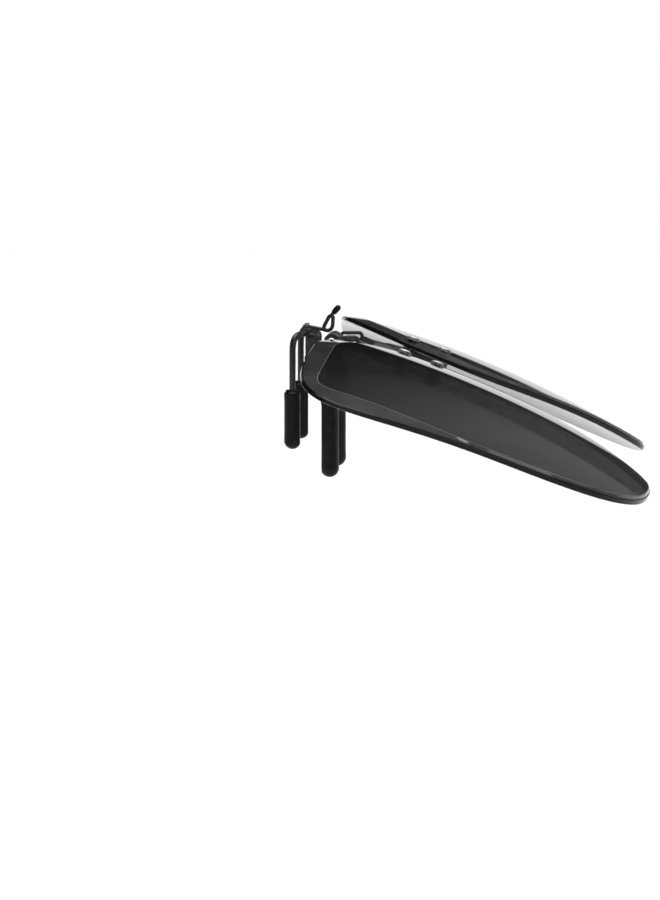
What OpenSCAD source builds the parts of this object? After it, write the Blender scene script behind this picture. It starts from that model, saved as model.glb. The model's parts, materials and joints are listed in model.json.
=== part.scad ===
// Clip on sunglasses: a sprung bridge clamp that carries a pair of flip-up tinted lenses.
// X is the wearer's left, Y points back towards the face, Z is up.
// The origin is midway between the gripping pads, in the plane of symmetry.

/* [Lenses] */
// Lens width, across its widest line
lens_w = 52; // [48:0.5:58]
// Lens height
lens_h = 49; // [42:0.5:52]
// Lens thickness
lens_t = 1.1; // [0.8:0.1:1.5]
// Radius of the lens's front face
lens_r = 170; // [130:1:220]
// Turn of each lens round the face
lens_wrap = 4.9; // [3:0.1:6]
// Lens centre to the middle of the bridge
lens_x = 38.8; // [38:0.1:41]
// Lens centre in front of the flip axis, lenses down
lens_front = 3.5; // [3.3:0.1:4.5]
// Lens centre below the flip axis, lenses down
lens_drop = 23.3; // [21:0.1:25]
// How much wider the lens is at its top than at its middle, as a part of its width
lens_taper = 0.18; // [0.1:0.01:0.25]

/* [Flip] */
// Opening of the lenses from straight down, in the stored pose
flip_rest = 66.7; // [0:0.1:100]
// Radius of the flip bar
bar_r = 0.7; // [0.6:0.05:0.8]
// Running clearance of the flip bar
bar_clear = 0.04; // [0.02:0.01:0.08]
// Thickness of the lens arms
arm_t = 0.9; // [0.7:0.1:1.0]
// Width of the lens arms
arm_w = 2.2; // [1.8:0.1:2.4]

/* [Clamp] */
// Gap between the front and rear pads
jaw_gap = 3; // [2.6:0.1:3.4]
// Pad to the middle of the bridge
pad_x = 10.3; // [9.8:0.1:10.8]
// Radius of the clamp wires
wire_r = 0.45; // [0.4:0.05:0.5]
// Outer radius of the rubber sleeves
sleeve_r = 1.3; // [1.1:0.05:1.35]
// Length of the front rubber sleeves
sleeve_len = 10.5; // [8:0.5:11.5]

/* [Hidden] */

fit = 0.01;                          // sleeve and pin seats
flat_cut = 0.15;                     // how far each sleeve is flattened on its gripping side
prong_y = -jaw_gap / 2 - (sleeve_r - flat_cut);
rear_r = sleeve_r - 0.1;
rear_y = jaw_gap / 2 + (rear_r - flat_cut);
flip_y = prong_y;                    // flip axis, above the prongs
pad_top = -8;                        // heights below the flip axis
pad_low = pad_top - sleeve_len;
rear_top = -6.8;
rear_low = -14.6;
flip_z = -(pad_top + pad_low) / 2 - 0.75;
jaw_y = flip_y + 2.8;                // jaw pivot, behind and above the flip axis
jaw_z = flip_z + 0.5;
pin_r = 0.5;
rivet_u = -21.3;                     // rivets, from the lens centre
rivet_v = [13.2, 8.4];
shank_r = 0.55;
head_r = 0.85;
washer_t = 0.25;
nut_t = 0.7;
nut_r = 0.95;
washer_r = 1.0;
seat = 0.05;                         // play between the riveted layers
cover_x = 3.75;                      // middle of the cover's round ends
black = [0.05, 0.05, 0.055];
rubber = [0.03, 0.03, 0.03];
steel = [0.72, 0.72, 0.74];
tint = [0.12, 0.12, 0.13];

// ---- helpers ----
module xrod(x0, x1, r, fn = 48) {
    translate([x0, 0, 0]) rotate([0, 90, 0]) cylinder(h = x1 - x0, r = r, $fn = fn);
}

module rod(p, q, r) {
    d = q - p;
    translate(p) rotate([0, acos(d[2] / norm(d)), atan2(d[1], d[0])])
        cylinder(h = norm(d), r = r, $fn = 32);
}

// a round wire along a path; ref is any direction the path never takes
function unit(v) = v / norm(v);
module wire(path, r, ref, closed = false, sides = 16) {
    n = len(path);
    along = [for (i = [0 : n - 1]) unit(closed
        ? path[(i + 1) % n] - path[(i + n - 1) % n]
        : path[min(i + 1, n - 1)] - path[max(i - 1, 0)])];
    side = [for (t = along) unit(cross(ref, t))];
    rings = [for (i = [0 : n - 1]) for (k = [0 : sides - 1])
        path[i] + r * (cos(360 * k / sides) * side[i] + sin(360 * k / sides) * cross(along[i], side[i]))];
    last = closed ? n - 1 : n - 2;
    skin = [for (i = [0 : last]) for (k = [0 : sides - 1])
        let (a = i * sides + k, b = i * sides + (k + 1) % sides,
            c = ((i + 1) % n) * sides + (k + 1) % sides, d = ((i + 1) % n) * sides + k)
        each [[a, b, c], [a, c, d]]];
    ends = closed ? [] : [[for (k = [0 : sides - 1]) sides - 1 - k],
        [for (k = [0 : sides - 1]) (n - 1) * sides + k]];
    polyhedron(points = rings, faces = [for (f = concat(skin, ends)) [for (j = [len(f) - 1 : -1 : 0]) f[j]]]);
}

// a straight flat strip between two points, t thick across the face of the object
module strap(p, q, w, t) {
    d = q - p;
    translate(p) rotate([0, -asin(d[2] / norm(d)), atan2(d[1], d[0])]) {
        translate([0, -t / 2, -w / 2]) cube([norm(d), t, w]);
        for (x = [0, norm(d)]) translate([x, t / 2, 0]) rotate([90, 0, 0])
            cylinder(h = t, r = w / 2, $fn = 48);
    }
}

function bezier(a, b, c, n) =
    [for (i = [0 : n]) let (s = i / n) a * (1 - s) * (1 - s) + b * 2 * s * (1 - s) + c * s * s];

module left_right(side) { mirror([side < 0 ? 1 : 0, 0, 0]) children(); }

// ---- the lens outline, u towards the temple and v up ----
function corner_power(u, v) =
    v > 0 ? (u > 0 ? 5.3 : 1.85) : (u > 0 ? 3.0 : 1.35);
function edge_at(a) =
    let (u = cos(a), v = sin(a), n = corner_power(u, v), hw = lens_w / 2, hh = lens_h / 2,
        r = pow(pow(abs(u) / hw, n) + pow(abs(v) / hh, n), -1 / n))
    [r * u * (1 + lens_taper * r * v / hh), r * v];

module lens_outline(n = 96) { polygon([for (i = [0 : n - 1]) edge_at(360 * i / n)]); }

// frames
module flip_frame() {
    translate([0, flip_y, flip_z]) rotate([-flip_rest, 0, 0]) children();
}
module lens_frame() {
    translate([lens_x, -lens_front, -lens_drop]) rotate([0, 0, lens_wrap]) children();
}
// on the lens's front face at u, v, with -Y pointing straight out of it
module on_lens(u, v) {
    translate([0, lens_r, 0]) rotate([-asin(v / lens_r), 0, asin(u / lens_r)])
        translate([0, -lens_r, 0]) children();
}
module yrod(y0, y1, r, fn = 40) {
    translate([0, y1, 0]) rotate([90, 0, 0]) cylinder(h = y1 - y0, r = r, $fn = fn);
}

// ---- clamp body, fixed ----
module clamp_body() {
    color(black) translate([0, flip_y, flip_z]) difference() {
        union() {
            for (s = [-1, 1]) {
                // flip knuckles
                translate([s * 2.95, 0, 0]) xrod(-1.65, 1.65, 1.2);
                translate([s * 2.95 - 1.65, -1.2, -2.6]) cube([3.3, 2.4, 2.6]);
                // jaw pivot ears
                translate([s * 1.95 - 0.4, 2.8, 0.5]) xrod(0, 0.8, 1.05);
                translate([s * 1.95 - 0.4, 1.75, -2.2]) cube([0.8, 2.1, 2.7]);
            }
            // saddle plate, and the nose that takes the cover
            translate([-4.6, -1.2, -3.4]) cube([9.2, 5.05, 1.4]);
            translate([-3.9, -1.2, -6.2]) cube([7.8, 1.2, 3.4]);
        }
        // flip bar, jaw pin, front prongs
        xrod(-6, 6, bar_r + bar_clear);
        translate([0, 2.8, 0.5]) xrod(-3, 3, pin_r + fit);
        for (s = [-1, 1]) translate([s * 3.2, 0, -2.7])
            rotate([0, s * 90, 0]) cylinder(h = 3, r = wire_r + fit, $fn = 32);
        // leaf pocket, its screw hole and the cover screw holes
        translate([-1.1, -0.6, -2.2]) cube([2.2, 3.2, 0.4]);
        translate([0, 1.9, -4]) cylinder(h = 3, r = 0.4 + fit, $fn = 32);
        for (s = [-1, 1]) translate([s * 2.7, 0, -4.6]) yrod(-2, -0.4, 0.4 + fit, 32);
    }
}

module bridge_cover() {
    color(black) translate([0, flip_y, flip_z]) difference() {
        union() {
            translate([-cover_x, -2, -6.3]) cube([2 * cover_x, 0.78, 3.3]);
            for (s = [-1, 1]) translate([s * cover_x, 0, -4.65]) yrod(-2, -1.22, 1.65, 64);
        }
        for (s = [-1, 1]) translate([s * 2.7, 0, -4.6]) {
            yrod(-3, -1, 0.4 + fit, 32);
            yrod(-3, -1.7, 0.76, 32);
        }
    }
}

module cover_screws() {
    color(steel) translate([0, flip_y, flip_z])
        for (s = [-1, 1]) translate([s * 2.7, 0, -4.6]) difference() {
            union() { yrod(-2.05, -1.7, 0.74); yrod(-1.8, -0.42, 0.4); }
            translate([-0.1, -2.2, -0.6]) cube([0.2, 0.3, 1.2]);
        }
}

module prong_wire() {
    translate([0, flip_y, flip_z]) {
        bend = bezier([8.2, 0, -2.7], [pad_x, 0, -2.7], [pad_x, 0, -5.2], 6);
        wire(concat([[3.3, 0, -2.7]], bend, [[pad_x, 0, pad_low + 0.9]]), wire_r, [0, 1, 0]);
    }
}
module front_prong_right() { color(black) left_right(-1) prong_wire(); }
module front_prong_left() { color(black) left_right(1) prong_wire(); }

// a rubber sleeve on a vertical wire: open on top, closed and domed below, flat on side f
module sleeve(top, low, r, f) {
    difference() {
        union() {
            translate([0, 0, low + r * 0.6]) cylinder(h = top - low - r * 0.6, r = r, $fn = 64);
            intersection() {
                translate([0, 0, low + r]) sphere(r = r, $fn = 64);
                translate([-r, -r, low]) cube([2 * r, 2 * r, r]);
            }
            translate([0, 0, top]) cylinder(h = 0.5, r = r - 0.25, $fn = 64);
        }
        translate([0, 0, low + 0.85]) cylinder(h = top - low + 1, r = wire_r + fit, $fn = 32);
        translate([-2, f > 0 ? r - flat_cut : -r - 2 + flat_cut, low - 1])
            cube([4, 2, top - low + 1 - 0.6]);
    }
}
module front_sleeve() {
    translate([pad_x, prong_y, flip_z]) sleeve(pad_top, pad_low, sleeve_r, 1);
}
module front_sleeve_right() { color(rubber) left_right(-1) front_sleeve(); }
module front_sleeve_left() { color(rubber) left_right(1) front_sleeve(); }

module jaw_pivot_pin() {
    color(black) translate([0, jaw_y, jaw_z]) {
        xrod(-4.62, 4.62, pin_r);
        for (s = [-1, 1]) translate([s * 4.72, 0, 0]) xrod(-0.12, 0.12, 0.75);
    }
}

// torsion spring: close-wound turns round the pin and a leg resting on the saddle
module jaw_spring() {
    turns = 6;
    coil = [for (i = [0 : turns * 20]) let (a = 18 * i)
        [-1.02 + 0.34 * a / 360, 0.72 * cos(a), 0.72 * sin(a)]];
    color(steel) translate([0, jaw_y, jaw_z])
        wire(concat([[-1.02, 0.72, -2.3], [-1.02, 0.72, -1.2]], coil), 0.15, [1, 0.05, 0.1], false, 10);
}

module friction_leaf() {
    color(steel) translate([0, flip_y, flip_z]) difference() {
        union() {
            translate([-0.9, -0.4, -1.98]) cube([1.8, 2.9, 0.2]);
            translate([-0.9, -0.4, -1.9]) cube([1.8, 0.25, 0.95]);
            translate([-0.9, -0.15, -1]) cube([1.8, 0.5, 0.2]);
        }
        translate([0, 1.9, -4]) cylinder(h = 3, r = 0.4 + fit, $fn = 32);
    }
}

module leaf_screw() {
    color(steel) translate([0, flip_y + 1.9, flip_z]) difference() {
        union() {
            translate([0, 0, -3.3]) cylinder(h = 1.6, r = 0.4, $fn = 32);
            translate([0, 0, -1.77]) cylinder(h = 0.3, r = 0.7, $fn = 32);
        }
        translate([-0.8, -0.1, -1.6]) cube([1.6, 0.2, 0.3]);
    }
}

// ---- rear jaw, turns about the jaw pivot ----
module jaw_yoke() {
    color(black) translate([0, jaw_y, jaw_z]) difference() {
        union() {
            for (s = [-1, 1]) {
                translate([s * 3.5, 0, 0]) xrod(-1, 1, 0.95);
                translate([s * 3 - 0.5, 0.3, 0.3]) cube([1, 1, 1]);
            }
            translate([-3.5, 0.75, 1.25]) cube([7, 0.6, 0.6]);
            translate([-3.5, 0.75, 0.6]) cube([1, 0.6, 1]);
            translate([2.5, 0.75, 0.6]) cube([1, 0.6, 1]);
            // sockets of the rear wires
            for (s = [-1, 1]) translate([s * 3.85 - 0.55, 0.4, 0.3]) cube([1.1, 1.1, 1.1]);
        }
        xrod(-5, 5, pin_r + 0.04);
    }
}

module rear_wire() {
    translate([0, jaw_y, jaw_z]) {
        y1 = rear_y - jaw_y;
        reach = bezier([3.7, 0.95, 0.85], [6.2, 1.25, 1.0], [pad_x - 1.4, y1 - 0.9, 0.75], 4);
        over = bezier([pad_x - 1.4, y1 - 0.9, 0.75], [pad_x, y1, 0.75], [pad_x, y1, -1.6], 6);
        wire(concat(reach, [for (i = [1 : 6]) over[i]],
            [[pad_x, y1, rear_low - 0.5 + 0.9]]), wire_r, [0.2, 1, 0.3]);
    }
}
module rear_arm_right() { color(black) left_right(-1) rear_wire(); }
module rear_arm_left() { color(black) left_right(1) rear_wire(); }

module rear_sleeve() {
    translate([pad_x, rear_y, flip_z]) sleeve(rear_top, rear_low, rear_r, -1);
}
module rear_sleeve_right() { color(rubber) left_right(-1) rear_sleeve(); }
module rear_sleeve_left() { color(rubber) left_right(1) rear_sleeve(); }

lever_tip = [0, -0.5, 4.5];
lever_neck = [0, 0.38, 3.5];
// narrow wire eye with a stem on top and a tail into the yoke
module pinch_lever() {
    back = [[0, 1.3, 2.1], [0, 0.68, 3.3]];
    front = [[0, 0.05, 3.3], [0, 0.1, 2.35]];
    low = [0, 0.75, 1.45];
    top_bend = bezier(back[1], [0, 0.4, 3.7], front[0], 5);
    heel = bezier(front[1], [0, 0.12, 1.6], low, 4);
    toe = bezier(low, [0, 1.5, 1.4], back[0], 5);
    eye = concat(top_bend, heel, [for (i = [1 : 5]) toe[i]], [(back[0] + back[1]) / 2]);
    color(black) translate([0, flip_y, flip_z]) {
        wire(eye, 0.27, [1, 0, 0], true, 12);
        rod(lever_neck, lever_tip, 0.26);
        rod(toe[2], [0, 3.9, 2.05], 0.26);
    }
}

module lever_sleeve() {
    color(rubber) translate([0, flip_y, flip_z]) {
        a = lever_neck + (lever_tip - lever_neck) * 0.55;
        b = lever_neck + (lever_tip - lever_neck) * 1.3;
        difference() {
            rod(a, b, 0.42);
            rod(lever_neck, lever_tip + (lever_tip - lever_neck) * 0.01, 0.26 + 2 * fit);
        }
    }
}

// ---- flip frame, turns about the flip axis ----
module flip_bar() { color(steel) flip_frame() xrod(-6.45, 6.45, bar_r); }

module bar_collars() {
    color(black) flip_frame() difference() {
        for (s = [-1, 1]) translate([s * 5.05, 0, 0]) xrod(-0.28, 0.28, 1.15);
        xrod(-7, 7, bar_r + fit);
    }
}

// long wire loop with round ends, from the end of the flip bar to the arm's knuckle
loop_x = 6.2;
loop_end = 0.52;                     // radius of its round ends
loop_straight = 1.0;                 // half the length of its straight sides
function loop_at(a) =
    let (l = sign(cos(a)) * loop_straight + loop_end * cos(a), w = loop_end * sin(a))
    [loop_x, -1.16 - 0.4 * l + 0.917 * w, -1.95 - 0.917 * l - 0.4 * w];
module loop_wire() {
    wire([for (i = [0 : 27]) loop_at((i + 0.5) * 360 / 28)], 0.26, [1, 0, 0], true, 12);
}
module loop_right() { color(black) flip_frame() left_right(-1) loop_wire(); }
module loop_left() { color(black) flip_frame() left_right(1) loop_wire(); }

// the point on the arm's middle plane behind the lens at u, v
function arm_point(u, v) =
    let (a = asin(u / lens_r), b = asin(v / lens_r), w = lens_wrap,
        r = lens_r - lens_t - washer_t - seat - arm_t / 2,
        p = [r * cos(b) * sin(a), lens_r - r * cos(b) * cos(a), r * sin(b)])
    [lens_x + p[0] * cos(w) - p[1] * sin(w), -lens_front + p[0] * sin(w) + p[1] * cos(w),
        -lens_drop + p[2]];

// foot along the back of the lens to just past its edge, then a strap up to the knuckle
module arm() {
    knuckle = [loop_x + 0.35, -1.25, -4.4];
    neck_w = arm_w * 0.75;
    neck = [-3.2, 2.8];
    mid = (rivet_v[0] + rivet_v[1]) / 2;
    half = (rivet_v[0] - rivet_v[1]) / 2;
    face = lens_t + washer_t + seat;
    difference() {
        union() {
            lens_frame() on_lens(rivet_u, mid) {
                translate([-arm_w / 2, face, -half]) cube([arm_w, arm_t, 2 * half]);
                for (z = [-half, half]) translate([0, 0, z]) yrod(face, face + arm_t, arm_w / 2, 64);
                translate([0, face, half]) rotate([0, -atan2(neck[1], neck[0]), 0])
                    translate([0, 0, -neck_w / 2]) cube([norm(neck), arm_t, neck_w]);
            }
            strap(arm_point(rivet_u + neck[0], rivet_v[0] + neck[1]), knuckle, neck_w, arm_t);
            translate(knuckle + [-1.0, -0.65, -0.9]) cube([1.6, 1.3, 1.8]);
        }
        lens_frame() for (v = rivet_v) on_lens(rivet_u, v) yrod(-2, 6, shank_r + fit, 32);
    }
}
module arm_right() { color(black) flip_frame() left_right(-1) arm(); }
module arm_left() { color(black) flip_frame() left_right(1) arm(); }

module lens() {
    lens_frame() difference() {
        intersection() {
            translate([0, lens_r, 0]) sphere(r = lens_r, $fn = 240);
            translate([0, 12, 0]) rotate([90, 0, 0]) linear_extrude(14) lens_outline();
        }
        translate([0, lens_r, 0]) sphere(r = lens_r - lens_t, $fn = 240);
        for (v = rivet_v) on_lens(rivet_u, v) yrod(-2, 4, shank_r + 0.06, 32);
    }
}
module lens_right() { color(tint) flip_frame() left_right(-1) lens(); }
module lens_left() { color(tint) flip_frame() left_right(1) lens(); }

// screw with a low round head on a clear washer, through lens and arm into a nut
module rivets() {
    end = lens_t + washer_t + seat + arm_t + nut_t + 0.2;
    lens_frame() for (v = rivet_v) on_lens(rivet_u, v) {
        yrod(-washer_t - 0.2, end, shank_r);
        intersection() {
            translate([0, 1.15 - washer_t, 0]) sphere(r = 1.5, $fn = 64);
            yrod(-washer_t - 0.6, -washer_t - 0.02, head_r);
        }
    }
}
module rivets_right() { color(steel) flip_frame() left_right(-1) rivets(); }
module rivets_left() { color(steel) flip_frame() left_right(1) rivets(); }

module nuts() {
    back = lens_t + washer_t + seat + arm_t + 0.03;
    lens_frame() for (v = rivet_v) on_lens(rivet_u, v) difference() {
        yrod(back, back + nut_t, nut_r, 48);
        yrod(back - 1, back + nut_t + 1, shank_r + fit, 32);
    }
}
module nuts_right() { color(black) flip_frame() left_right(-1) nuts(); }
module nuts_left() { color(black) flip_frame() left_right(1) nuts(); }

module washers() {
    lens_frame() for (v = rivet_v) on_lens(rivet_u, v) difference() {
        union() {
            yrod(-washer_t, -0.03, washer_r, 48);
            yrod(lens_t + 0.03, lens_t + washer_t - 0.03, washer_r, 48);
        }
        yrod(-2, 4, shank_r + fit, 32);
    }
}
module washers_right() { color(tint) flip_frame() left_right(-1) washers(); }
module washers_left() { color(tint) flip_frame() left_right(1) washers(); }

clamp_body();
bridge_cover();
cover_screws();
front_prong_right();
front_prong_left();
front_sleeve_right();
front_sleeve_left();
jaw_pivot_pin();
jaw_spring();
friction_leaf();
leaf_screw();
jaw_yoke();
rear_arm_right();
rear_arm_left();
rear_sleeve_right();
rear_sleeve_left();
pinch_lever();
lever_sleeve();
flip_bar();
bar_collars();
loop_right();
loop_left();
arm_right();
arm_left();
lens_right();
lens_left();
rivets_right();
rivets_left();
nuts_right();
nuts_left();
washers_right();
washers_left();
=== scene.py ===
"""Looks of the clip on sunglasses: smooth wires, bevelled lenses, rubber, lacquer and steel."""
import json
import math

import bmesh
import bpy
from mathutils import Matrix, Vector, geometry


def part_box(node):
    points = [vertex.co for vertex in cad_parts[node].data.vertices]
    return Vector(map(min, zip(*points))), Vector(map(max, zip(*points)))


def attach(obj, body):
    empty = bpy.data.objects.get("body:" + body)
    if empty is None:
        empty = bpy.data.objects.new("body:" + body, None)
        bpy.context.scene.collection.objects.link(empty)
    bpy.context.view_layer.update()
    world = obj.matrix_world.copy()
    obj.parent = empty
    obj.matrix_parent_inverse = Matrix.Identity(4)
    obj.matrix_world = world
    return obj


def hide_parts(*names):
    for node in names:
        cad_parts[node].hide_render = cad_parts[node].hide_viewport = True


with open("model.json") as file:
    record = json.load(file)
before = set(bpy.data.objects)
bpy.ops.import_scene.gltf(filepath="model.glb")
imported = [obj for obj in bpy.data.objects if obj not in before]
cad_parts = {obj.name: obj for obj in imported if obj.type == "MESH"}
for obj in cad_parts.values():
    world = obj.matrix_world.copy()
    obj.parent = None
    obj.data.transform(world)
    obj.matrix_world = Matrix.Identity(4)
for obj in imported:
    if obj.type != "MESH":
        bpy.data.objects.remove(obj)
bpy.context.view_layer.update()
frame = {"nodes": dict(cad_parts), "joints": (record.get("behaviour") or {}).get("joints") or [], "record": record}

MM = 0.001
SIDES = {"right": -1, "left": 1}

# Driving sizes, in millimetres, as in the CAD model
LENS_W = 52.0
LENS_H = 49.0
LENS_T = 1.1
LENS_R = 170.0
LENS_WRAP = math.radians(4.9)
LENS_X = 38.8
LENS_FRONT = 3.5
LENS_DROP = 23.3
LENS_TAPER = 0.18
REST_OPEN = math.radians(66.7)
PAD_X = 10.3
WIRE_R = 0.45
WIRE_END = 0.9          # above the foot of its sleeve
SLEEVE_R = 1.3
REAR_SLEEVE_R = 1.2
FLAT_CUT = 0.15
RIVET_U = -21.3
RIVET_V = (13.2, 8.4)
SHANK_R = 0.55
HOLE_R = 0.61
HEAD_R = 0.85
NUT_R = 0.95
WASHER_R = 1.0
WASHER_T = 0.25
SEAT = 0.05
ARM_T = 0.9
NUT_T = 0.7
BAR_R = 0.7
LOOP_X = 6.2

# Points round a lens and round a rivet hole
LENS_STEPS = 240
HOLE_STEPS = 24

# Material slots of a lens
GLASS, FACET, WALL, RIDGE = range(4)

JOINTS = {j["name"]: j for j in frame["joints"]}
FLIP = Vector(JOINTS["flip"]["pos_m"])
JAW = Vector(JOINTS["jaw"]["pos_m"])


# ---- places ----
def at(origin, x, y, z):
    """A point given in millimetres from an origin in metres."""
    return origin + Vector((x, y, z)) * MM


def flip_matrix(side=1):
    """Flip frame in millimetres, lenses hanging straight down, to the stored pose in metres."""
    mirror = Matrix.Diagonal((side, 1, 1, 1))
    turn = Matrix.Rotation(-REST_OPEN, 4, "X")
    return Matrix.Translation(FLIP) @ Matrix.Scale(MM, 4) @ mirror @ turn


def lens_matrix(side):
    place = Matrix.Translation((LENS_X, -LENS_FRONT, -LENS_DROP))
    return flip_matrix(side) @ place @ Matrix.Rotation(LENS_WRAP, 4, "Z")


def on_lens_matrix(side, u, v):
    """On the lens's front face, local -Y pointing straight out of it."""
    out = Matrix.Translation((0, LENS_R, 0))
    swing = Matrix.Rotation(math.asin(u / LENS_R), 4, "Z")
    tilt = Matrix.Rotation(-math.asin(v / LENS_R), 4, "X")
    return lens_matrix(side) @ out @ swing @ tilt @ Matrix.Translation((0, -LENS_R, 0))


def bezier(a, b, c, n):
    a, b, c = Vector(a), Vector(b), Vector(c)
    steps = [i / n for i in range(n + 1)]
    return [a * (1 - s) ** 2 + b * 2 * s * (1 - s) + c * s * s for s in steps]


def smooth_step(x, low, high):
    s = min(max((x - low) / (high - low), 0), 1)
    return s * s * (3 - 2 * s)


# ---- materials ----
def material(name):
    """A new node material, its tree and its shader."""
    m = bpy.data.materials.new(name)
    m.use_nodes = True
    return m, m.node_tree, m.node_tree.nodes["Principled BSDF"]


def add(tree, kind, **settings):
    """Adds a node. A setting is the value of one of its inputs, or else a property of its own."""
    node = tree.nodes.new(kind)
    for key, value in settings.items():
        if key in node.inputs:
            node.inputs[key].default_value = value
        else:
            setattr(node, key, value)
    return node


def object_coords(tree, stretch=(1, 1, 1)):
    """The piece's own coordinates in metres, times a factor along each axis."""
    coords = add(tree, "ShaderNodeTexCoord")
    mapping = add(tree, "ShaderNodeMapping")
    mapping.inputs["Scale"].default_value = stretch
    tree.links.new(coords.outputs["Object"], mapping.inputs["Vector"])
    return mapping.outputs["Vector"]


def grain(tree, vector, scale, detail=3.0):
    """Cloudy noise from 0 to 1."""
    noise = add(tree, "ShaderNodeTexNoise", Scale=scale, Detail=detail)
    tree.links.new(vector, noise.inputs["Vector"])
    return noise.outputs["Fac"]


def spread(tree, value, low, high, start=0.3, end=0.7):
    """Maps a 0 to 1 texture value onto a range."""
    node = add(tree, "ShaderNodeMapRange")
    node.inputs["From Min"].default_value = start
    node.inputs["From Max"].default_value = end
    node.inputs["To Min"].default_value = low
    node.inputs["To Max"].default_value = high
    tree.links.new(value, node.inputs["Value"])
    return node.outputs["Result"]


def shades(tree, value, dark, light, start=0.3, end=0.7):
    """Maps a 0 to 1 texture value onto a run between two colours."""
    ramp = add(tree, "ShaderNodeValToRGB")
    ramp.color_ramp.elements[0].position = start
    ramp.color_ramp.elements[0].color = (*dark, 1)
    ramp.color_ramp.elements[1].position = end
    ramp.color_ramp.elements[1].color = (*light, 1)
    tree.links.new(value, ramp.inputs["Fac"])
    return ramp.outputs["Color"]


def larger(tree, a, b):
    node = add(tree, "ShaderNodeMath", operation="MAXIMUM")
    tree.links.new(a, node.inputs[0])
    tree.links.new(b, node.inputs[1])
    return node.outputs[0]


def bumps(tree, shader, value, strength, height):
    """Fine relief, its height in metres."""
    bump = add(tree, "ShaderNodeBump")
    bump.inputs["Strength"].default_value = strength
    bump.inputs["Distance"].default_value = height
    tree.links.new(value, bump.inputs["Height"])
    tree.links.new(bump.outputs["Normal"], shader.inputs["Normal"])


def lacquer(name="black_lacquer"):
    """Satin black lacquer on metal: faint orange peel, fine scuffs, greyer on its worn edges."""
    m, tree, shader = material(name)
    coords = object_coords(tree)
    peel = grain(tree, coords, 2600, 2)
    scuffs = grain(tree, object_coords(tree, (300, 5200, 5200)), 1, 6)
    worn = add(tree, "ShaderNodeNewGeometry").outputs["Pointiness"]
    tone = shades(tree, worn, (0.004, 0.004, 0.0045), (0.03, 0.03, 0.032), 0.5, 0.62)
    tree.links.new(tone, shader.inputs["Base Color"])
    rough = larger(tree, spread(tree, peel, 0.24, 0.36), spread(tree, scuffs, 0.2, 0.46, 0.45, 0.8))
    tree.links.new(rough, shader.inputs["Roughness"])
    bumps(tree, shader, peel, 0.2, 0.00002)
    shader.inputs["Specular IOR Level"].default_value = 0.32
    shader.inputs["Coat Weight"].default_value = 0.05
    shader.inputs["Coat Roughness"].default_value = 0.12
    return m


def steel(name="polished_steel", matt=0.14):
    """Bright steel with drawn grain along X and a few darker specks."""
    m, tree, shader = material(name)
    drawn = grain(tree, object_coords(tree, (250, 9000, 9000)), 1, 5)
    specks = grain(tree, object_coords(tree), 3300, 2)
    tree.links.new(shades(tree, specks, (0.48, 0.48, 0.5), (0.74, 0.74, 0.76), 0.3, 0.5),
                   shader.inputs["Base Color"])
    tree.links.new(spread(tree, drawn, matt, matt + 0.2), shader.inputs["Roughness"])
    bumps(tree, shader, drawn, 0.15, 0.00001)
    shader.inputs["Metallic"].default_value = 1.0
    return m


def rubber(name="black_rubber"):
    """Moulded rubber: fine pores, a little dust, soft sheen."""
    m, tree, shader = material(name)
    coords = object_coords(tree)
    pores = grain(tree, coords, 5200, 4)
    dust = grain(tree, coords, 700, 5)
    tree.links.new(shades(tree, dust, (0.002, 0.002, 0.0022), (0.008, 0.008, 0.0083), 0.4, 0.75),
                   shader.inputs["Base Color"])
    tree.links.new(spread(tree, dust, 0.3, 0.44), shader.inputs["Roughness"])
    bumps(tree, shader, pores, 0.35, 0.00003)
    shader.inputs["Specular IOR Level"].default_value = 0.14
    shader.inputs["Sheen Weight"].default_value = 0.01
    return m


def tinted(name, side, tone, dark_alpha, light_alpha, smooth):
    """Dark grey see-through plastic, a little denser towards the top of the lens."""
    m, tree, shader = material(name)
    up = (flip_matrix(side).to_3x3() @ Vector((0, 0, 1))).normalized()
    middle = lens_matrix(side) @ Vector((0, 0, 0))
    coords = add(tree, "ShaderNodeTexCoord").outputs["Object"]
    height = add(tree, "ShaderNodeVectorMath", operation="DOT_PRODUCT")
    height.inputs[1].default_value = up
    tree.links.new(coords, height.inputs[0])
    half = LENS_H / 2 * MM
    level = up.dot(middle)
    alpha = spread(tree, height.outputs["Value"], light_alpha, dark_alpha,
                   level - half, level + half)
    tree.links.new(alpha, shader.inputs["Alpha"])
    smudge = grain(tree, object_coords(tree, (1, 1.6, 1)), 120, 6)
    fine = grain(tree, object_coords(tree), 2400, 3)
    tree.links.new(shades(tree, smudge, tone, tuple(1.5 * c for c in tone), 0.45, 0.7),
                   shader.inputs["Base Color"])
    rough = larger(tree, spread(tree, smudge, smooth, smooth * 1.4, 0.5, 0.8),
                   spread(tree, fine, smooth, smooth * 1.2, 0.5, 0.9))
    tree.links.new(rough, shader.inputs["Roughness"])
    shader.inputs["IOR"].default_value = 1.53
    return m


def lens_edge(name="lens_edge"):
    """The cut edge of the lens: dark, polished, with the faint lines of the cutter."""
    m, tree, shader = material(name)
    lines = grain(tree, object_coords(tree, (1500, 400, 1500)), 1, 4)
    tree.links.new(shades(tree, lines, (0.003, 0.003, 0.003), (0.01, 0.01, 0.01)),
                   shader.inputs["Base Color"])
    tree.links.new(spread(tree, lines, 0.06, 0.16), shader.inputs["Roughness"])
    bumps(tree, shader, lines, 0.1, 0.00001)
    shader.inputs["Specular IOR Level"].default_value = 0.16
    return m


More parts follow.
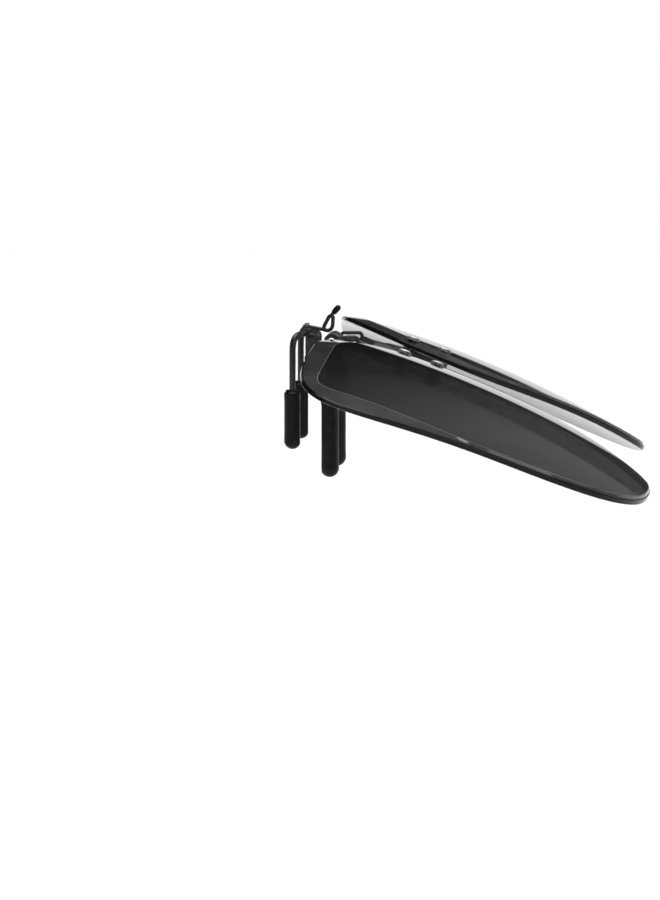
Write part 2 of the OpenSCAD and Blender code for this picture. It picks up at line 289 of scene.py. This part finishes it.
def nylon(name="clear_nylon"):
    """Clear nylon, a little cloudy."""
    m, tree, shader = material(name)
    clouds = grain(tree, object_coords(tree), 2100, 4)
    tree.links.new(shades(tree, clouds, (0.16, 0.16, 0.17), (0.3, 0.3, 0.31)),
                   shader.inputs["Base Color"])
    tree.links.new(spread(tree, clouds, 0.1, 0.24), shader.inputs["Roughness"])
    bumps(tree, shader, clouds, 0.15, 0.00002)
    shader.inputs["Alpha"].default_value = 0.62
    return m


def matt_floor(name="floor_paper"):
    """Matt white paper with faint fibres."""
    m, tree, shader = material(name)
    fibres = grain(tree, object_coords(tree), 60, 4)
    tree.links.new(shades(tree, fibres, (0.86, 0.86, 0.86), (0.9, 0.9, 0.9)),
                   shader.inputs["Base Color"])
    shader.inputs["Roughness"].default_value = 0.9
    shader.inputs["Specular IOR Level"].default_value = 0.1
    return m


LACQUER = lacquer()
STEEL = steel()
TURNED_STEEL = steel("turned_steel", 0.5)
RUBBER = rubber()
NYLON = nylon()
EDGE = lens_edge()
SLOT_LOOKS = {
    "black_metal": LACQUER,
    "bright_steel": STEEL,
    "rubber": RUBBER,
    "clear_plastic": NYLON,
}
SLOT_OF = {p["node"]: p["material_slot"] for p in frame["record"]["subparts"]}
BODY_OF = {n: body for body, nodes in frame["record"]["behaviour"]["bodies"].items() for n in nodes}


# ---- mesh helpers ----
def finish_piece(bm, node, looks=None, crease=35):
    """Turns a bmesh, in metres and in place, into the piece that stands for a CAD node."""
    bmesh.ops.recalc_face_normals(bm, faces=bm.faces)
    mesh = bpy.data.meshes.new(node + "_mesh")
    bm.to_mesh(mesh)
    bm.free()
    for look in looks or [SLOT_LOOKS[SLOT_OF[node]]]:
        mesh.materials.append(look)
    mesh.shade_smooth()
    mesh.set_sharp_from_angle(angle=math.radians(crease))
    piece = bpy.data.objects.new(node + "_piece", mesh)
    bpy.context.scene.collection.objects.link(piece)
    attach(piece, BODY_OF[node])
    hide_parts(node)
    return piece


def softened(node, width):
    """The CAD node's own shape with its edges broken, as lacquered and stamped metal has them."""
    bm = bmesh.new()
    bm.from_mesh(frame["nodes"][node].data)
    bmesh.ops.remove_doubles(bm, verts=bm.verts, dist=0.002 * MM)
    bmesh.ops.dissolve_limit(bm, angle_limit=math.radians(1), verts=bm.verts, edges=bm.edges)
    bevel = finish_piece(bm, node).modifiers.new("edges", "BEVEL")
    bevel.width = width * MM
    bevel.segments = 3
    bevel.limit_method = "ANGLE"
    bevel.angle_limit = math.radians(35)
    bevel.harden_normals = True


def loft(bm, rings, closed_path=False, start_cap=None, end_cap=None):
    """Skins rings of points, all with the same count. A cap is the point in its middle."""
    rows = [[bm.verts.new(p) for p in ring] for ring in rings]
    count = len(rows[0])
    pairs = list(zip(rows, rows[1:] + rows[:1])) if closed_path else list(zip(rows, rows[1:]))
    for a, b in pairs:
        for k in range(count):
            n = (k + 1) % count
            bm.faces.new((a[k], a[n], b[n], b[k]))
    for row, cap in ((rows[0], start_cap), (rows[-1], end_cap)):
        if cap is not None:
            middle = bm.verts.new(cap)
            for k in range(count):
                bm.faces.new((row[k], row[(k + 1) % count], middle))
    return rows


def tangents(path, closed):
    """The direction of a path at each of its points."""
    n = len(path)
    if closed:
        return [(path[(i + 1) % n] - path[i - 1]).normalized() for i in range(n)]
    return [(path[min(i + 1, n - 1)] - path[max(i - 1, 0)]).normalized() for i in range(n)]


def tube(bm, path, radius, across, closed=False, sides=20, round_steps=4):
    """A round wire along points in metres, with rounded ends; across is never along the path."""
    path = [Vector(p) for p in path]
    along = tangents(path, closed)
    radius *= MM
    rings = []

    def ring(centre, t, r):
        side = Vector(across).cross(t).normalized()
        other = t.cross(side)
        turns = [2 * math.pi * k / sides for k in range(sides)]
        return [centre + (side * math.cos(a) + other * math.sin(a)) * r for a in turns]

    quarter = [math.pi / 2 * s / round_steps for s in range(1, round_steps)]
    if not closed:
        for a in reversed(quarter):
            end = path[0] - along[0] * radius * math.sin(a)
            rings.append(ring(end, along[0], radius * math.cos(a)))
    rings += [ring(p, t, radius) for p, t in zip(path, along)]
    if not closed:
        for a in quarter:
            end = path[-1] + along[-1] * radius * math.sin(a)
            rings.append(ring(end, along[-1], radius * math.cos(a)))
    caps = (None, None) if closed else (path[0] - along[0] * radius, path[-1] + along[-1] * radius)
    loft(bm, rings, closed, *caps)


def lathe(bm, profile, matrix, sides=48, wobble=None):
    """Turns (radius, height) points, in millimetres, about the matrix's local Y axis."""
    turns = [2 * math.pi * k / sides for k in range(sides)]

    def ring(r, h):
        rs = [wobble(r, a) if wobble else r for a in turns]
        return [matrix @ Vector((q * math.cos(a), h, q * math.sin(a))) for q, a in zip(rs, turns)]

    start, end = profile[0], profile[-1]
    caps = [matrix @ Vector((0, p[1], 0)) if p[0] == 0 else None for p in (start, end)]
    solid = [p for p in profile if p[0] > 0]
    closed = caps == [None, None]
    loft(bm, [ring(*p) for p in solid], closed, *caps)


def rounded_disc(r, low, high, soft, steps=4):
    """Profile of a solid disc with rounded rims."""
    quarter = [math.pi / 2 * s / steps for s in range(steps + 1)]
    lower = [(r - soft + soft * math.sin(a), low + soft - soft * math.cos(a)) for a in quarter]
    upper = [(r - soft + soft * math.cos(a), high - soft + soft * math.sin(a)) for a in quarter]
    return [(0, low)] + lower + upper + [(0, high)]


def rounded_ring(r, bore, low, high, soft, steps=3):
    """Profile of a ring with a bore and rounded outer rims."""
    disc = rounded_disc(r, low, high, soft, steps)[1:-1]
    return [(bore, low)] + disc + [(bore, high)]


# ---- clamp ----
def prong(node, side):
    """Front wire: level out of the clamp, round a bend and down into its sleeve."""
    root, bend_start, level, bend_end = 3.3, 8.2, -2.7, -5.2
    bend = bezier((bend_start, 0, level), (PAD_X, 0, level), (PAD_X, 0, bend_end), 16)
    low = (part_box("front_sleeve_left")[0].z - FLIP.z) / MM + WIRE_END
    path = [Vector((root, 0, level))] + bend + [Vector((PAD_X, 0, low))]
    bm = bmesh.new()
    tube(bm, [at(FLIP, side * p.x, p.y, p.z) for p in path], WIRE_R, (0, 1, 0))
    finish_piece(bm, node)


def sleeve(node, grip):
    """Rubber sleeve with a rounded closed foot, a turned lip on top and one flat gripping side."""
    low, high = (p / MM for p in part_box(node))
    radius = REAR_SLEEVE_R if node.startswith("rear") else SLEEVE_R
    x = (low.x + high.x) / 2
    y = (low.y + radius) if grip > 0 else (high.y - radius)
    sides, foot_steps, levels = 56, 10, 24
    crown, waist, ripple = 0.02, 0.035, 0.01
    lip_height, mouth = 0.95, 0.5

    def ring(r, z, flat):
        points = []
        for k in range(sides):
            a = 2 * math.pi * k / sides
            px, py = r * math.cos(a), r * math.sin(a)
            limit = radius - FLAT_CUT * flat
            if grip * py > limit:
                py = grip * (limit + crown * (grip * py - limit))
            points.append(Vector((x + px, y + py, z)) * MM)
        return points

    rings = []
    for s in range(1, foot_steps + 1):
        a = math.pi / 2 * s / foot_steps
        rings.append(ring(radius * math.sin(a), low.z + radius * (1 - math.cos(a)), 1))
    body_low, body_high = low.z + radius, high.z - lip_height
    for s in range(1, levels + 1):
        z = body_low + (body_high - body_low) * s / levels
        slim = 1 - waist * math.sin(math.pi * s / levels) - ripple * math.sin(9 * s / levels)
        rings.append(ring(radius * slim, z, 1))
    # (share of the radius, depth below the top, how flat) over the lip and into the mouth
    lip = ((0.99, 0.75, 0.6), (1.0, 0.6, 0.2), (0.985, 0.5, 0), (0.9, 0.4, 0), (0.82, 0.3, 0),
           (0.8, 0.1, 0), (0.76, 0.02, 0), (0.68, 0.0, 0), (0.5, 0.02, 0), (0.42, 0.12, 0))
    for share, down, flat in lip:
        rings.append(ring(radius * share, high.z - down, flat))
    rings.append(ring(WIRE_R + 0.01, high.z - mouth, 0))
    bm = bmesh.new()
    loft(bm, rings, False, Vector((x, y, low.z)) * MM, Vector((x, y, high.z - mouth)) * MM)
    finish_piece(bm, node, crease=60)


def pivot_pin():
    """Jaw pin with peened, domed ends."""
    turn = Matrix.Translation(JAW) @ Matrix.Scale(MM, 4) @ Matrix.Rotation(math.pi / 2, 4, "Z")
    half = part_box("jaw_pivot_pin")[1].x / MM
    dome_r, dome_t = 0.75, 0.24
    quarter = [math.pi / 2 * s / 6 for s in range(6)]
    dome = [(dome_r * math.cos(a), half - dome_t + dome_t * math.sin(a)) for a in quarter]
    profile = [(0.5, half - dome_t - 0.01), (dome_r - 0.03, half - dome_t)] + dome + [(0, half)]
    whole = [(r, -h) for r, h in reversed(profile)] + profile
    bm = bmesh.new()
    lathe(bm, whole, turn)
    finish_piece(bm, "jaw_pivot_pin")


def spring():
    """Torsion spring: close turns round the pin, and a leg that rests on the saddle."""
    turns, steps = 6, 32
    radius, pitch, wire, start = 0.72, 0.34, 0.15, -1.02
    coil = []
    for i in range(turns * steps + 1):
        a = 2 * math.pi * i / steps
        coil.append((start + pitch * i / steps, radius * math.cos(a), radius * math.sin(a)))
    leg = [(start, radius, -2.3), (start, radius, -1.2), (start, radius, -0.5)]
    bm = bmesh.new()
    tube(bm, [at(JAW, *p) for p in leg + coil], wire, (1, 0.05, 0.1), sides=12)
    finish_piece(bm, "jaw_spring", crease=80)


# ---- rear jaw ----
def rear_arm(node, side):
    """Rear wire: out of the yoke and back, over a bend and down into its sleeve."""
    sleeve_low, sleeve_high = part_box("rear_sleeve_left")
    level, bend_end = 0.75, -1.6
    pad_y = (sleeve_high.y - JAW.y) / MM - REAR_SLEEVE_R
    low = (sleeve_low.z - JAW.z) / MM + WIRE_END
    bend_start = (PAD_X - 1.4, pad_y - 0.9, level)
    reach = bezier((3.7, 0.95, 0.85), (6.2, 1.25, 1.0), bend_start, 14)
    over = bezier(bend_start, (PAD_X, pad_y, level), (PAD_X, pad_y, bend_end), 16)
    path = reach + over[1:] + [Vector((PAD_X, pad_y, low))]
    bm = bmesh.new()
    tube(bm, [at(JAW, side * p.x, p.y, p.z) for p in path], WIRE_R, (0.2 * side, 1, 0.3))
    finish_piece(bm, node)


LEVER_NECK = (0, 0.38, 3.5)
LEVER_TIP = (0, -0.5, 4.5)


def pinch_lever():
    """Narrow wire eye with a stem on top and a tail into the yoke."""
    back_low, back_high = (0, 1.3, 2.1), (0, 0.68, 3.3)
    front_high, front_low = (0, 0.05, 3.3), (0, 0.1, 2.35)
    low = (0, 0.75, 1.45)
    tail_end = (0, 3.9, 2.05)
    eye_r, stem_r = 0.27, 0.26
    top_bend = bezier(back_high, (0, 0.4, 3.7), front_high, 14)
    heel = bezier(front_low, (0, 0.12, 1.6), low, 12)
    toe = bezier(low, (0, 1.5, 1.4), back_low, 14)
    middle = (Vector(back_low) + Vector(back_high)) / 2
    bm = bmesh.new()
    tube(bm, [at(FLIP, *p) for p in top_bend + heel + toe[1:] + [middle]], eye_r, (1, 0, 0),
         closed=True, sides=16)
    tube(bm, [at(FLIP, *LEVER_NECK), at(FLIP, *LEVER_TIP)], stem_r, (1, 0, 0), sides=16)
    tube(bm, [at(FLIP, *toe[6]), at(FLIP, *tail_end)], stem_r, (1, 0, 0), sides=16)
    finish_piece(bm, "pinch_lever")


def lever_sleeve():
    """Rubber tip over the end of the lever's stem."""
    neck, tip = Vector(LEVER_NECK), Vector(LEVER_TIP)
    reach = tip - neck
    radius, shares = 0.42, (0.62, 0.75, 0.88, 1.01, 1.14)
    path = [at(FLIP, *(neck + reach * s)) for s in shares]
    bm = bmesh.new()
    tube(bm, path, radius, (1, 0, 0), sides=24, round_steps=6)
    finish_piece(bm, "lever_sleeve")


# ---- flip frame ----
def flip_bar():
    """Round bar with softened ends."""
    turn = flip_matrix() @ Matrix.Rotation(math.pi / 2, 4, "Z")
    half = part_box("flip_bar")[1].x / MM
    bm = bmesh.new()
    lathe(bm, rounded_disc(BAR_R, -half, half, 0.2, 5), turn)
    finish_piece(bm, "flip_bar")


def bar_collars():
    """Two pressed collars with a fine turned groove."""
    turn = flip_matrix() @ Matrix.Rotation(math.pi / 2, 4, "Z")
    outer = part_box("bar_collars")[1].x / MM
    bore, rim, groove, half = BAR_R + 0.01, 1.15, 1.09, 0.28
    middle = outer - half
    profile = [(bore, -half), (1.07, -half), (1.13, -half + 0.03), (rim, -half + 0.09),
               (rim, -0.06), (groove, -0.03), (groove, 0.03), (rim, 0.06),
               (rim, half - 0.09), (1.13, half - 0.03), (1.07, half), (bore, half)]
    bm = bmesh.new()
    for side in SIDES.values():
        lathe(bm, [(r, h + side * middle) for r, h in profile], turn)
    finish_piece(bm, "bar_collars")


def loop(node, side):
    """Closed wire loop with round ends, from the end of the bar to the arm's knuckle."""
    end, straight, wire, steps = 0.52, 1.0, 0.26, 64
    middle_y, middle_z = -1.16, -1.95
    lean, drop = 0.4, 0.917
    path = []
    for i in range(steps):
        a = 2 * math.pi * (i + 0.5) / steps
        length = math.copysign(straight, math.cos(a)) + end * math.cos(a)
        width = end * math.sin(a)
        path.append(Vector((LOOP_X, middle_y - lean * length + drop * width,
                            middle_z - drop * length - lean * width)))
    matrix = flip_matrix(side)
    bm = bmesh.new()
    tube(bm, [matrix @ p for p in path], wire, (1, 0, 0), closed=True, sides=18)
    finish_piece(bm, node)


def corner_power(u, v):
    """How square a quarter of the lens outline is: 1 is a straight line and 2 an ellipse."""
    if v > 0:
        return 5.3 if u > 0 else 1.85
    return 3.0 if u > 0 else 1.35


def edge_at(a, in_u=0.0, in_v=0.0, crisp=1.0):
    """A point of the lens outline, or of the smaller one inside it by two margins."""
    u, v = math.cos(a), math.sin(a)
    half_w, half_h = LENS_W / 2 - in_u, LENS_H / 2 - in_v
    n = corner_power(u, v) * (crisp if u > 0 and v > 0 else 1)
    r = ((abs(u) / half_w) ** n + (abs(v) / half_h) ** n) ** (-1 / n)
    return Vector((r * u * (1 + LENS_TAPER * r * v / (LENS_H / 2)), r * v))


def outline(curve):
    """Points round a curve, eased where its quarters meet below and on the nose side."""
    passes, reach = 24, 12
    points = [curve(2 * math.pi * i / LENS_STEPS) for i in range(LENS_STEPS)]
    joints = [curve(math.pi), curve(1.5 * math.pi)]
    for _ in range(passes):
        eased = []
        for i, p in enumerate(points):
            away = min((p - joint).length for joint in joints)
            middle = (points[i - 1] + points[(i + 1) % LENS_STEPS]) / 2
            eased.append(p.lerp(middle, 0.5 * (1 - smooth_step(away, 0, reach))))
        points = eased
    return points


def inset(points, distance):
    """The outline moved inwards."""
    n = len(points)
    moved = []
    for i, p in enumerate(points):
        along = (points[(i + 1) % n] - points[i - 1]).normalized()
        inward = Vector((-along.y, along.x))
        moved.append(p + inward * distance)
    return moved


def facet_edge(a):
    """Inner line of the facet: far in along the top, crisp at its temple corner, close in below."""
    narrow = 0.45
    v = edge_at(a).y
    wider = 3.9 if math.cos(a) > 0 else 2.6
    in_u = narrow + wider * smooth_step(v, -3, 24)
    in_v = narrow + 2.1 * smooth_step(v, 0, 6)
    return edge_at(a, in_u, in_v, 3.0)


def lens_depth(u, v, share):
    """Depth behind the lens's middle; share runs from 0 on the front to 1 on the back."""
    front = LENS_R - math.sqrt(LENS_R ** 2 - u * u - v * v)
    back = LENS_R - math.sqrt((LENS_R - LENS_T) ** 2 - u * u - v * v)
    return front + share * (back - front)


def face_of_lens(bm, matrix, rim, holes, share):
    """Fills the front or the back face out to a rim; returns its faces and its hole rings."""
    spacing, row_spacing, hole_clearance = 1.6, 0.866, 1.5
    points = [p for p, _ in rim]
    for ring in holes:
        points += ring
    count = len(rim)
    edges = [(i, (i + 1) % count) for i in range(count)]
    start = count
    for ring in holes:
        edges += [(start + k, start + (k + 1) % len(ring)) for k in range(len(ring))]
        start += len(ring)
    fixed = len(points)
    reach = int(LENS_W / spacing)
    rim_points = [p for p, _ in rim]
    hole_middles = [sum(ring, Vector((0, 0))) / len(ring) for ring in holes]
    for i in range(-reach, reach + 1):
        for j in range(-reach, reach + 1):
            p = Vector((spacing * (i + 0.5 * (j % 2)), spacing * row_spacing * j))
            near = min((p - q).length for q in rim_points)
            clear = all((p - middle).length > hole_clearance for middle in hole_middles)
            if near > spacing * 0.6 and clear and inside(p, rim_points):
                points.append(p)
    out, _, faces, origins, _, _ = geometry.delaunay_2d_cdt(points, edges, [], 0, 1e-6)
    known = {}
    for k, source in enumerate(origins):
        for s in source:
            if s < count:
                known[k] = rim[s][1]
    verts = []
    ring_verts = {}
    for k, p in enumerate(out):
        if k in known:
            verts.append(known[k])
            continue
        vert = bm.verts.new(matrix @ Vector((p.x, lens_depth(p.x, p.y, share), p.y)))
        verts.append(vert)
        for s in origins[k]:
            if count <= s < fixed:
                ring_verts[s - count] = vert
    made = []
    for face in faces:
        middle = sum((out[k] for k in face), Vector((0, 0))) / len(face)
        if not inside(middle, rim_points) or any(inside(middle, ring) for ring in holes):
            continue
        made.append(bm.faces.new([verts[k] for k in face]))
    return made, [ring_verts[k] for k in sorted(ring_verts)]


def inside(p, ring):
    """Whether a point is inside a closed ring of points."""
    hit = False
    for a, b in zip(ring, ring[1:] + ring[:1]):
        if (a.y > p.y) != (b.y > p.y) and p.x < a.x + (b.x - a.x) * (p.y - a.y) / (b.y - a.y):
            hit = not hit
    return hit


def lens(node, side):
    """Curved lens: fine ridge, facet, cut edge, softened back rim and two drilled holes."""
    matrix = lens_matrix(side)
    edge = outline(edge_at)
    line = outline(facet_edge)
    # (outline, inset, share of the thickness, more of it up the lens) from front face to back face
    bands = [
        (line, 0.07, 0.0, 0.0),
        (line, 0.0, 0.004, 0.0),
        (line, -0.07, 0.016, 0.0),
        (edge, 0.16, 0.3, 0.1),
        (edge, 0.05, 0.34, 0.1),
        (edge, 0.0, 0.42, 0.08),
        (edge, 0.0, 0.88, 0.0),
        (edge, 0.05, 0.95, 0.0),
        (edge, 0.17, 1.0, 0.0),
    ]
    rise = 14
    bm = bmesh.new()
    rows = []
    for shape, distance, share, more in bands:
        row = []
        for p in inset(shape, distance):
            depth = lens_depth(p.x, p.y, share + more * smooth_step(p.y, 0, rise))
            row.append((p, bm.verts.new(matrix @ Vector((p.x, depth, p.y)))))
        rows.append(row)
    strips = (RIDGE, RIDGE, FACET, WALL, WALL, WALL, WALL, FACET)
    for look, a, b in zip(strips, rows, rows[1:]):
        for k in range(LENS_STEPS):
            m = (k + 1) % LENS_STEPS
            face = bm.faces.new((a[k][1], a[m][1], b[m][1], b[k][1]))
            face.material_index = look
    hole = [2 * math.pi * k / HOLE_STEPS for k in range(HOLE_STEPS)]
    holes = [[Vector((RIVET_U + HOLE_R * math.cos(a), v + HOLE_R * math.sin(a))) for a in hole]
             for v in RIVET_V]
    front, front_rings = face_of_lens(bm, matrix, rows[0], holes, 0)
    back, back_rings = face_of_lens(bm, matrix, rows[-1], holes, 1)
    for h in range(len(holes)):
        for k in range(HOLE_STEPS):
            a, b = HOLE_STEPS * h + k, HOLE_STEPS * h + (k + 1) % HOLE_STEPS
            face = bm.faces.new((front_rings[a], front_rings[b], back_rings[b], back_rings[a]))
            face.material_index = WALL
    for face in front + back:
        face.material_index = GLASS
    bm.faces.index_update()
    front_ids = [f.index for f in front]
    back_ids = [f.index for f in back]
    glass = tinted(node + "_tint", side, (0.003, 0.003, 0.0032), 0.95, 0.84, 0.012)
    # The facet's grey, ten times the glass's, is painted reflection: it makes a lighter band along the bevel, as a
    # reflection of the light would
    facet = tinted(node + "_facet_painted_reflection", side, (0.03, 0.03, 0.031), 0.94, 0.9, 0.05)
    # The ridge's light grey is a painted highlight: the thin light line along the inside of the facet
    ridge = tinted(node + "_ridge_painted_highlight", side, (0.09, 0.09, 0.09), 0.95, 0.9, 0.2)
    piece = finish_piece(bm, node, [glass, facet, EDGE, ridge], crease=12)
    true_normals(piece.data, matrix @ Vector((0, LENS_R, 0)), front_ids, back_ids)


def true_normals(mesh, centre, front, back):
    """The two faces shade as the exact spheres they are."""
    normals = [Vector(c.vector) for c in mesh.corner_normals]
    for ids, sign in ((front, 1), (back, -1)):
        for i in ids:
            for c in mesh.polygons[i].loop_indices:
                p = mesh.vertices[mesh.loops[c].vertex_index].co
                normals[c] = ((p - centre) * sign).normalized()
    mesh.normals_split_custom_set(normals)


def hardware_at(side):
    """Where the two screws of a lens sit."""
    return [on_lens_matrix(side, RIVET_U, v) for v in RIVET_V]


def rivets(node, side):
    """Screws with heads that have a black rim and a bright turned dome, and black ends."""
    end = LENS_T + WASHER_T + SEAT + ARM_T + NUT_T + 0.2
    top = -WASHER_T - 0.02
    rim, rim_t, dome_t = HEAD_R - 0.01, 0.07, 0.24
    quarter = [math.pi / 2 * s / 12 for s in range(12)]
    dome = [(rim * math.cos(a), top - rim_t - dome_t * math.sin(a)) for a in quarter]
    head = [(SHANK_R, top), (rim - 0.04, top), (rim, top - 0.03)] + dome
    dimple = [(0.07, top - 0.308), (0.05, top - 0.29), (0, top - 0.28)]
    tail = [(0, end), (0.35, end), (0.5, end - 0.06), (SHANK_R, end - 0.16)]
    bm = bmesh.new()
    for matrix in hardware_at(side):
        known = set(bm.faces)
        lathe(bm, tail + head + dimple, matrix)
        back = matrix.inverted()
        for face in bm.faces:
            if face in known:
                continue
            p = back @ face.calc_center_median()
            bright = p.y < top - rim_t and math.hypot(p.x, p.z) < rim - 0.04
            face.material_index = 0 if bright else 1
    finish_piece(bm, node, [TURNED_STEEL, LACQUER])


def nuts(node, side):
    """Round nuts with a finely knurled rim."""
    back = LENS_T + WASHER_T + SEAT + ARM_T + 0.03
    rim, bore = NUT_R - 0.02, SHANK_R + 0.01
    profile = [(bore, back), (rim - 0.09, back), (rim, back + 0.08), (rim, back + NUT_T - 0.12),
               (rim - 0.11, back + NUT_T), (0.7, back + NUT_T), (0.62, back + NUT_T - 0.06),
               (bore, back + NUT_T - 0.12)]

    def knurl(r, a):
        return r * (1 - 0.03 * (0.5 + 0.5 * math.cos(20 * a))) if r > rim - 0.05 else r

    bm = bmesh.new()
    for matrix in hardware_at(side):
        lathe(bm, profile, matrix, sides=120, wobble=knurl)
    finish_piece(bm, node)


def washers(node, side):
    """Clear washers in front of and behind the lens."""
    bm = bmesh.new()
    for matrix in hardware_at(side):
        for low, high in ((-WASHER_T, -0.03), (LENS_T + 0.03, LENS_T + WASHER_T - 0.03)):
            lathe(bm, rounded_ring(WASHER_R, SHANK_R + 0.01, low, high, 0.07), matrix)
    finish_piece(bm, node)


# ---- stage ----
def photo_camera():
    """Far out on the wearer's right and a little above the lenses."""
    scene = bpy.context.scene
    camera_data = bpy.data.cameras.new("camera")
    camera = bpy.data.objects.new("camera", camera_data)
    scene.collection.objects.link(camera)
    scene.camera = camera
    camera_data.sensor_width = 36
    camera_data.lens = 209.0
    camera_data.clip_start = 0.01
    place = Vector((-735.91, -39.37, 51.55)) * MM
    ahead = Vector((0.996, 0.05036, -0.0738)).normalized()
    right = ahead.cross(Vector((0, 0, 1))).normalized()
    up = right.cross(ahead)
    turn = Matrix((right, up, -ahead)).transposed().to_4x4()
    camera.matrix_world = Matrix.Translation(place) @ turn


def studio_floor():
    """Plain floor, in metres, well below the sleeves."""
    bm = bmesh.new()
    half, z = 4.0, -0.12
    cuts = 4
    for i in range(-cuts, cuts + 1):
        for j in range(-cuts, cuts + 1):
            bm.verts.new((half * i / cuts, half * j / cuts, z))
    bm.verts.ensure_lookup_table()
    row = 2 * cuts + 1
    for i in range(row - 1):
        for j in range(row - 1):
            a = i * row + j
            bm.faces.new([bm.verts[k] for k in (a, a + row, a + row + 1, a + 1)])
    mesh = bpy.data.meshes.new("floor_mesh")
    bm.to_mesh(mesh)
    bm.free()
    mesh.materials.append(matt_floor())
    floor = bpy.data.objects.new("floor", mesh)
    bpy.context.scene.collection.objects.link(floor)


def studio_world():
    """White to the camera; reflections see a pale ground, a dark room and one soft panel."""
    world = bpy.data.worlds.new("studio")
    bpy.context.scene.world = world
    world.use_nodes = True
    tree = world.node_tree
    background = tree.nodes["Background"]
    coords = add(tree, "ShaderNodeTexCoord")
    split = add(tree, "ShaderNodeSeparateXYZ")
    tree.links.new(coords.outputs["Generated"], split.inputs[0])
    # white up to just above the horizon, dark above it, and a panel that brightens to the front
    low_glow = spread(tree, split.outputs["Z"], 1.0, 0.0, 0.095, 0.115)
    haze = spread(tree, split.outputs["Y"], 0.07, 0.014, -0.15, -0.03)
    panel_glow = spread(tree, split.outputs["Y"], 0.23, 0.0, -0.19, -0.065)
    panel_foot = spread(tree, split.outputs["Z"], 0.0, 1.0, 0.27, 0.285)
    panel = add(tree, "ShaderNodeMath", operation="MULTIPLY")
    tree.links.new(panel_glow, panel.inputs[0])
    tree.links.new(panel_foot, panel.inputs[1])
    glow = larger(tree, larger(tree, low_glow, haze), panel.outputs[0])
    direct = add(tree, "ShaderNodeLightPath").outputs["Is Camera Ray"]
    tree.links.new(larger(tree, glow, direct), background.inputs["Color"])


def lamp(name, kind, place, target, power):
    """A lamp at a place in metres, aimed at a target."""
    light = bpy.data.lights.new(name, kind)
    light.energy = power
    holder = bpy.data.objects.new(name, light)
    bpy.context.scene.collection.objects.link(holder)
    holder.location = place
    aim = Vector(target) - Vector(place)
    holder.rotation_euler = aim.to_track_quat("-Z", "Y").to_euler()
    holder.visible_camera = False
    return light


def studio_lamps():
    """Wide soft light from above and a soft fill from the camera's side."""
    sky = lamp("overhead", "SUN", (0, 0, 1), (0.1, 0, 0), 3.6)
    sky.angle = math.radians(60)
    fill = lamp("camera_fill", "AREA", (-1.0, -0.9, 0.5), (0, 0, 0), 2.5)
    fill.shape = "RECTANGLE"
    fill.size, fill.size_y = 0.7, 0.7


for word, sign in SIDES.items():
    prong("front_prong_" + word, sign)
    sleeve("front_sleeve_" + word, 1)
    rear_arm("rear_arm_" + word, sign)
    sleeve("rear_sleeve_" + word, -1)
    loop("loop_" + word, sign)
    softened("arm_" + word, 0.14)
    lens("lens_" + word, sign)
    rivets("rivets_" + word, sign)
    nuts("nuts_" + word, sign)
    washers("washers_" + word, sign)
pivot_pin()
spring()
pinch_lever()
lever_sleeve()
flip_bar()
bar_collars()
softened("clamp_body", 0.16)
softened("bridge_cover", 0.14)
softened("jaw_yoke", 0.1)
softened("friction_leaf", 0.04)
softened("cover_screws", 0.03)
softened("leaf_screw", 0.03)

photo_camera()
studio_floor()
studio_world()
studio_lamps()
bpy.context.scene.view_settings.view_transform = "Standard"
